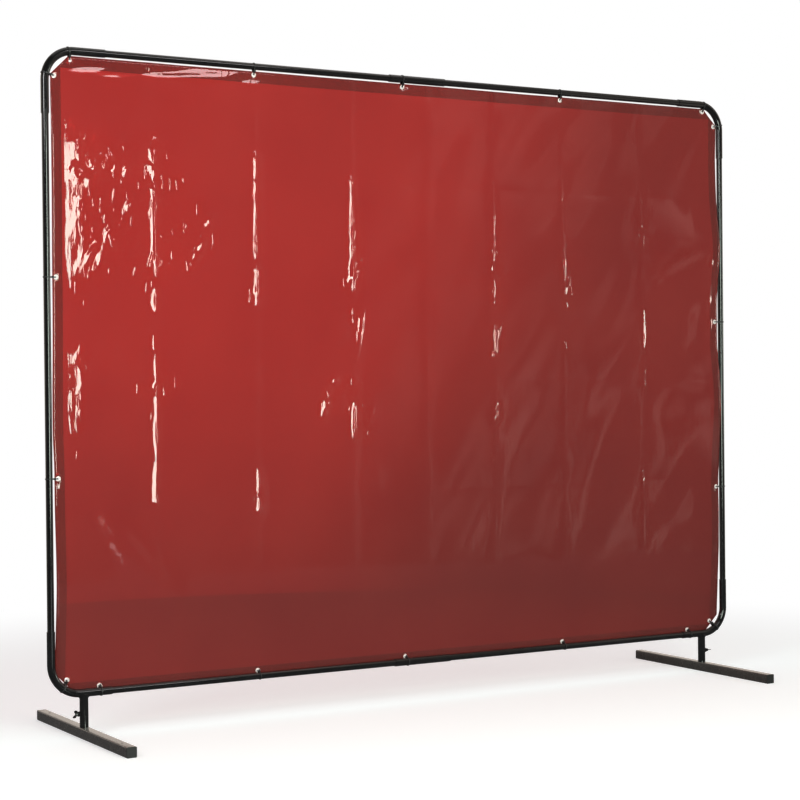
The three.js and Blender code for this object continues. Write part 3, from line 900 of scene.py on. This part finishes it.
# The film's fine relief: a gentle wobble everywhere, and where it is crumpled
# small slanting creases a few millimetres wide.
film_relief, start, end = node_group("film_relief", ("Vector", "Crumpled"), ("Normal",))
slant = add_node(
    film_relief, "Mapping", {"Rotation": (0, math.radians(28), 0), "Scale": (1.0, 1.0, 0.25)},
)
wobble = add_node(film_relief, "TexNoise", {"Scale": 46, "Detail": 3})
deep = map_range(film_relief, 0, 1, 0.00012, 0.0015)
creases = add_node(film_relief, "TexNoise", {"Scale": 64, "Detail": 1})
crest = map_range(film_relief, 0.60, 0.78, 0, 0.0022, "SMOOTHSTEP")
low_part = add_node(film_relief, "Math", operation="MULTIPLY")
high_part = add_node(film_relief, "Math", operation="MULTIPLY")
both = add_node(film_relief, "Math", operation="ADD")
raised = add_node(film_relief, "Bump", {"Distance": 1.0})
wire(
    film_relief, (start, "Vector", slant, "Vector"), (slant, "Vector", wobble, "Vector"),
    (slant, "Vector", creases, "Vector"), (start, "Crumpled", deep, "Value"),
    (wobble, "Fac", low_part, 0), (deep, "Result", low_part, 1), (creases, "Fac", crest, "Value"),
    (crest, "Result", high_part, 0), (start, "Crumpled", high_part, 1),
    (low_part, "Value", both, 0), (high_part, "Value", both, 1),
    (both, "Value", raised, "Height"), (raised, "Normal", end, "Normal"),
)

# The film: a glossy red skin over a clear one that tints what is behind it.
red_film, tree, skin = new_material("red_film")
tone = blend(tree, (0.29, 0.098, 0.090), (0.34, 0.115, 0.100))
patches = place_group(tree, mottle, Scale=2.2, Low=0.0, High=1.0)
gloss = place_group(tree, mottle, Scale=14, Low=0.03, High=0.07)
fill(skin, {"IOR": 1.8, "Specular IOR Level": 1.0})
amount = add_node(tree, "Attribute", attribute_name="crumpled")
surface = place_group(tree, film_relief)
clear = add_node(tree, "BsdfTransparent")
tint = blend(tree, (0.725, 0.085, 0.085), (0.765, 0.100, 0.098))
through = add_node(tree, "MixShader", {"Fac": 0.75})
wire(
    tree, (patches, "Value", tone, "Factor"), (tone, "Result", skin, "Base Color"),
    (gloss, "Value", skin, "Roughness"), (amount, "Fac", surface, "Crumpled"),
    (surface, "Normal", skin, "Normal"), (patches, "Value", tint, "Factor"),
    (tint, "Result", clear, "Color"), (skin, "BSDF", through, 1), (clear, "BSDF", through, 2),
    (through, "Shader", tree.nodes["Material Output"], "Surface"),
)


def film_piece(name, bm):
    for face in bm.faces:
        face.smooth = True
    piece = object_of(name, bm, red_film)
    amount = piece.data.attributes.new("crumpled", "FLOAT", "POINT")
    for point in piece.data.vertices:
        amount.data[point.index].value = crumpled(point.co.x, point.co.z)
    wall = piece.modifiers.new("film", "SOLIDIFY")
    wall.thickness = film
    wall.offset = 0
    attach(piece, "frame_body")
    return piece


sheet_bm = cut_sheet()
hung(sheet_bm, 0)
curtain_film = film_piece("curtain_film", sheet_bm)
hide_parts("curtain")


def in_hem(c):
    """Whether a bit of the sheet lies in its hem, which is narrower at the foot."""
    return min(edge_x - abs(c.x), edge_top - c.z) < hem_wide or c.z < edge_foot + hem_low


hem_bm = cut_sheet(in_hem)
hung(hem_bm, film + hem_gap)
curtain_hem = film_piece("curtain_hem", hem_bm)


# --------------------
# Eyelets. Bright nickel-plated brass, in two parts: a barrel with a rolled
# flange through the front of the hem, spread over a washer behind it.
# --------------------
eyelet_r = 0.0075
eyelet_hole = 0.0035
barrel_r = 0.0043
flange = 0.0011
face_gap = 0.0003

bright_plate = finish_of(
    "bright_plate", (0.98, 0.87, 0.83), (0.88, 0.78, 0.74), 0.3, metallic=0.25, dusty=0.05,
    patch_scale=120,
)


def closed_ring(bm, points):
    """Edges from each point to the next, and from the last back to the first."""
    return [bm.edges.new(pair) for pair in zip(points, points[1:] + points[:1])]


def press_eyelet(node):
    centre = eyelet_at[node]
    half = film + face_gap + flange
    front = [
        (eyelet_hole, -half + 0.0009), (eyelet_hole + 0.0004, -half + 0.0003),
        (eyelet_hole + 0.0012, -half), (eyelet_r - 0.0014, -half + 0.0001),
        (eyelet_r - 0.0004, -half + 0.0005), (eyelet_r, -half + flange), (barrel_r, -half + flange),
    ]
    back = [(r, -y) for r, y in reversed(front)]
    bm = bmesh.new()
    profile = [bm.verts.new((r, y, 0)) for r, y in front + back]
    bmesh.ops.spin(
        bm, geom=profile + closed_ring(bm, profile), cent=(0, 0, 0), axis=(0, 1, 0), dvec=(0, 0, 0),
        angle=2 * math.pi, steps=28, use_merge=True, use_duplicate=False,
    )
    bmesh.ops.translate(bm, verts=bm.verts, vec=(centre.x, centre.y, centre.z))
    made_piece(
        node + "_plated", bm, bright_plate, "frame_body", [node], rounded=0, sharp=50,
    )


for node in eyelet_names:
    press_eyelet(node)


# --------------------
# Cable ties. Black nylon straps threaded through the eyelets, drawn tight
# round the tube with the head in front, and their tails snipped short.
# --------------------
tie_wide = 0.0036
tie_thick = 0.0012
tie_tip_r = 0.002
strap_gap = 0.0003
rim_depth = 0.0008
coupler_half = 0.1
head_along = 0.006
head_out = 0.0042
head_across = 0.0054
tail_length = 0.005

tie_nylon = finish_of(
    "tie_nylon", (0.011, 0.011, 0.012), (0.016, 0.016, 0.017), 0.38,
    grain_scale=1500, dusty=0.1, patch_scale=60,
)


def arc_points(radius, x, y, count=40):
    turns = [2 * math.pi * k / count for k in range(count)]
    return [(x + radius * math.cos(turn), y + radius * math.sin(turn)) for turn in turns]


def strap_outline(tube, reach, offset, grow):
    """The strap's path round the tube and through the eyelet, seen end on."""
    rim = film / 2 + face_gap + rim_depth
    points = arc_points(tube + strap_gap + grow, 0, 0)
    points += arc_points(tie_tip_r + grow, reach - tie_thick / 2 - tie_tip_r, offset, 24)
    points += arc_points(rim + strap_gap + grow, reach - eyelet_r, offset, 16)
    return [points[k] for k in geometry.convex_hull_2d(points)]


def tube_beside(node):
    """The point on the frame's centre line nearest an eyelet, and the tube's radius there."""
    p = eyelet_at[node]
    straight_x, straight_low, straight_high = side_x - bend_r, rail_z + bend_r, top_z - bend_r
    if "corner" in node:
        centre = Vector((math.copysign(straight_x, p.x), 0, straight_high if p.z > 1 else straight_low))
        out = Vector((p.x - centre.x, 0, p.z - centre.z)).normalized()
        return centre + out * bend_r, sleeve_r
    if node.startswith(("eyelet_top", "eyelet_bottom")):
        sleeved = (
            abs(p.x) > straight_x - sleeve_len - tie_wide or abs(p.x) < coupler_half + tie_wide
        )
        return Vector((p.x, 0, top_z if p.z > 1 else rail_z)), sleeve_r if sleeved else tube_r
    return Vector((math.copysign(side_x, p.x), 0, p.z)), tube_r


def draw_tie(node):
    tie = node.replace("eyelet_", "tie_")
    origin, radius = tube_beside(node)
    p = eyelet_at[node]
    toward = Vector((p.x - origin.x, 0, p.z - origin.z))
    reach = toward.length
    inner = strap_outline(radius, reach, p.y, 0)
    outer = strap_outline(radius, reach, p.y, tie_thick)
    bm = bmesh.new()
    rims = []
    for level in (-tie_wide / 2, tie_wide / 2):
        loops = []
        for outline in (outer, inner):
            loops.append(closed_ring(bm, [bm.verts.new((u, v, level)) for u, v in outline]))
        rims.append(loops)
    close_block(bm, rims)
    # the head sits on the longest straight run in front
    runs = [run for run in zip(inner, inner[1:] + inner[:1]) if run[0][0] < run[1][0]]
    front = max(runs, key=lambda run: math.dist(*run))
    mid = Vector(((front[0][0] + front[1][0]) / 2, (front[0][1] + front[1][1]) / 2, 0))
    angle = math.atan2(front[1][1] - front[0][1], front[1][0] - front[0][0])
    lay = Matrix.Translation(mid) @ Matrix.Rotation(angle, 4, "Z")
    head = bmesh.ops.create_cube(bm, size=1)["verts"]
    bmesh.ops.scale(bm, vec=(head_along, head_out, head_across), verts=head)
    for point in head:
        if point.co.y < 0:
            point.co.x *= 0.85
            point.co.z *= 0.85
    bmesh.ops.translate(bm, verts=head, vec=(0, -head_out / 2 - 0.0001, 0))
    tail = bmesh.ops.create_cube(bm, size=1)["verts"]
    bmesh.ops.scale(bm, vec=(tail_length, tie_thick, tie_wide), verts=tail)
    bmesh.ops.rotate(bm, verts=tail, cent=(0, 0, 0), matrix=Matrix.Rotation(math.radians(-60), 3, "Z"))
    bmesh.ops.translate(bm, verts=tail, vec=(-0.0008, -head_out - tail_length * 0.28, 0))
    bmesh.ops.transform(bm, matrix=lay, verts=head + tail)
    u_axis = toward.normalized()
    basis = Matrix((
        (u_axis.x, 0, -u_axis.z, origin.x),
        (0, 1, 0, 0),
        (u_axis.z, 0, u_axis.x, origin.z),
        (0, 0, 0, 1),
    ))
    bmesh.ops.transform(bm, matrix=basis, verts=bm.verts)
    made_piece(
        tie + "_strap", bm, tie_nylon, "frame_body", [tie], rounded=0.00025, sharp=35,
    )


for node in eyelet_names:
    draw_tie(node)


# --------------------
# Floor, studio lights and camera. A pale floor, six soft lights, and a camera
# a metre up at the front left. Floor and surround turn to a dimmer gradient where the film is in front
# of them, painted shade that darkens the film towards the right, and to a made-up room in reflections.
# --------------------
pale, tree, paper = new_material("pale_floor")
fill(paper, {
    "Base Color": (0.8, 0.8, 0.8, 1), "Roughness": 0.9, "Specular IOR Level": 0.1,
    "Emission Color": (1, 1, 1, 1),
})
coordinates = tree.nodes["coordinates"]
seen = add_node(tree, "LightPath")
# lifted a little to the camera, and fading into the white surround at its edge
away = add_node(tree, "VectorMath", operation="LENGTH")
fade = map_range(tree, 1.5, 3.1, curve="SMOOTHSTEP")
glow = add_node(tree, "Math", {1: 0.42}, operation="MULTIPLY")
bare = add_node(tree, "Emission", {"Strength": 1.0})
sweep = add_node(tree, "MixShader")
# through the film it darkens from left to right, painted shade that dims the film towards the right; in
# reflections it is nearly black
across_floor = add_node(tree, "SeparateXYZ")
shaded = map_range(tree, -1.6, 2.4, 0.42, 0.16)
# painted shade: the floor's glow behind the film, fading from left to right
painted_shade_behind_film = add_node(tree, "Emission")
layered = add_node(tree, "Math", {1: 0.5}, operation="GREATER_THAN")
behind_film = add_node(tree, "MixShader")
dim = add_node(tree, "Emission", {"Strength": 0.12})
mirrored = add_node(tree, "MixShader")
wire(
    tree, (coordinates, "Object", away, 0), (away, "Value", fade, "Value"),
    (seen, "Is Camera Ray", glow, 0), (glow, "Value", paper, "Emission Strength"),
    (fade, "Result", sweep, "Fac"), (paper, "BSDF", sweep, 1), (bare, "Emission", sweep, 2),
    (coordinates, "Object", across_floor, "Vector"), (across_floor, "X", shaded, "Value"),
    (shaded, "Result", painted_shade_behind_film, "Strength"), (seen, "Transparent Depth", layered, 0),
    (layered, "Value", behind_film, "Fac"), (sweep, "Shader", behind_film, 1),
    (painted_shade_behind_film, "Emission", behind_film, 2), (seen, "Is Glossy Ray", mirrored, "Fac"),
    (behind_film, "Shader", mirrored, 1), (dim, "Emission", mirrored, 2),
    (mirrored, "Shader", tree.nodes["Material Output"], "Surface"),
)
bm = bmesh.new()
bmesh.ops.create_circle(bm, cap_ends=True, segments=96, radius=3.2)
studio_floor = object_of("studio_floor", bm, pale)


def softbox(name, place, aim, wide, high, radiance, colour=(1, 1, 1)):
    """A rectangular area light of a given brightness, pointed at aim."""
    data = bpy.data.lights.new(name, "AREA")
    data.shape = "RECTANGLE"
    data.size = wide
    data.size_y = high
    data.energy = radiance * wide * high * math.pi
    light = bpy.data.objects.new(name, data)
    bpy.context.scene.collection.objects.link(light)
    light.location = place
    light.rotation_euler = (Vector(aim) - Vector(place)).to_track_quat("-Z", "Y").to_euler()
    data.color = colour
    light.visible_camera = False


# four that the folds, the top hem and the lower sheet mirror; one from the left; one overhead
softbox("strip_light", (-0.45, -4.0, 1.30), (-0.45, 0, 1.30), 0.9, 1.9, 18, (0.88, 1.0, 0.88))
softbox("far_strip", (6.6, -4.0, 1.40), (0.5, 0, 1.40), 0.8, 1.4, 14, (0.88, 1.0, 0.88))
softbox("high_strip", (0.88, -4.0, 3.25), (-0.9, 0, 1.9), 1.3, 0.6, 9, (1.0, 0.95, 0.95))
softbox("low_card", (-0.93, -1.5, 0.04), (-0.95, 0, 0.7), 0.46, 0.6, 1.8)
softbox("left_light", (-4.2, -2.6, 2.8), (-0.8, 0, 1.0), 1.2, 1.2, 12)
softbox("top_light", (0, 0.3, 5.0), (0, 0, 0), 5, 5, 0.5)

world = bpy.data.worlds.new("studio")
bpy.context.scene.world = world
world.use_nodes = True
tree = world.node_tree
backdrop = tree.nodes["Background"]
seen = add_node(tree, "LightPath")
direction = add_node(tree, "TexCoord")


def studio_ramp(along, low, high, low_value, high_value):
    """A soft step in the studio's brightness along a direction."""
    across = add_node(tree, "VectorMath", {1: along}, operation="DOT_PRODUCT")
    step = map_range(tree, low, high, low_value, high_value, "SMOOTHSTEP")
    wire(tree, (direction, "Generated", across, 0), (across, "Value", step, "Value"))
    return step.outputs["Result"]


def joined(node, values, output):
    """Puts numbers or other nodes' outputs on a node's inputs, and returns its output."""
    for label, value in values.items():
        if isinstance(value, float):
            node.inputs[label].default_value = value
        else:
            tree.links.new(value, node.inputs[label])
    return node.outputs[output]


def times(a, b):
    return joined(add_node(tree, "Math", operation="MULTIPLY"), {0: a, 1: b}, "Value")


def choose(factor, a, b):
    """Passes on a where the factor is nought and b where it is one."""
    return joined(add_node(tree, "Mix"), {"Factor": factor, "A": a, "B": b}, "Result")


# what shows through the film: painted shade, white on the left and dim on the right, that darkens the
# film towards the right
painted_film_shade = times(
    times(
        studio_ramp((0.861, -0.509, 0), -0.2, 0.05, 1.0, 0.85),
        studio_ramp((0.861, -0.509, -0.393), -0.04, 0.09, 1.0, 0.45),
    ),
    studio_ramp((0, 0, 1), -0.16, 0.06, 0.38, 1.0),
)
# blurred dark shapes of things standing in the dim part of the studio
lean = add_node(tree, "Mapping", {"Rotation": (0, math.radians(40), 0), "Scale": (9, 9, 3)})
blur = add_node(tree, "TexNoise", {"Scale": 1.0, "Detail": 2})
shapes = map_range(tree, 0.42, 0.58, 0.15, 1.2, "SMOOTHSTEP")
wire(
    tree, (direction, "Generated", lean, "Vector"), (lean, "Vector", blur, "Vector"),
    (blur, "Fac", shapes, "Value"),
)
# what the gloss reflects: dark in front, dim grey to the right, pale behind
pale_wall = times(
    studio_ramp((0, 0, 1), -0.25, 0.08, 0.12, 0.85), studio_ramp((0, 0, 1), 0.15, 0.5, 1.0, 0.4),
)
reflected = choose(
    studio_ramp((0, 1, 0), -0.1, 0.35, 0.0, 1.0),
    times(studio_ramp((0.84, 0.54, 0), -0.08, 0.16, 0.06, 0.80), shapes.outputs["Result"]),
    pale_wall,
)
layered = add_node(tree, "Math", {1: 0.5}, operation="GREATER_THAN")
warmth = blend(tree, (1, 1, 1), (1.0, 0.88, 0.78))
wire(
    tree, (seen, "Transparent Depth", layered, 0), (seen, "Is Glossy Ray", warmth, "Factor"),
    (warmth, "Result", backdrop, "Color"),
)
# camera rays that passed through the film see the painted shade instead of the white surround
direct = choose(layered.outputs["Value"], 1.0, painted_film_shade)
indirect = choose(seen.outputs["Is Glossy Ray"], 0.35, reflected)
joined(backdrop, {"Strength": choose(seen.outputs["Is Camera Ray"], indirect, direct)}, "Background")

camera_data = bpy.data.cameras.new("camera")
camera = bpy.data.objects.new("camera", camera_data)
bpy.context.scene.collection.objects.link(camera)
camera_data.sensor_width = 36
camera_data.lens = 85.09
camera_data.clip_end = 200
camera_place = (-3.0707, -5.0760, 0.9949)
yaw, pitch, roll = math.radians(30.571), math.radians(0.476), math.radians(-0.560)
ahead = Vector((math.sin(yaw) * math.cos(pitch), math.cos(yaw) * math.cos(pitch), -math.sin(pitch)))
right = Vector((math.cos(yaw), -math.sin(yaw), 0))
upward = right.cross(ahead)
right_rolled = right * math.cos(roll) + upward * math.sin(roll)
up_rolled = upward * math.cos(roll) - right * math.sin(roll)
stand = Matrix((right_rolled, up_rolled, -ahead)).transposed().to_4x4()
stand.translation = camera_place
camera.matrix_world = stand
bpy.context.scene.camera = camera
bpy.context.scene.view_settings.view_transform = "Standard"
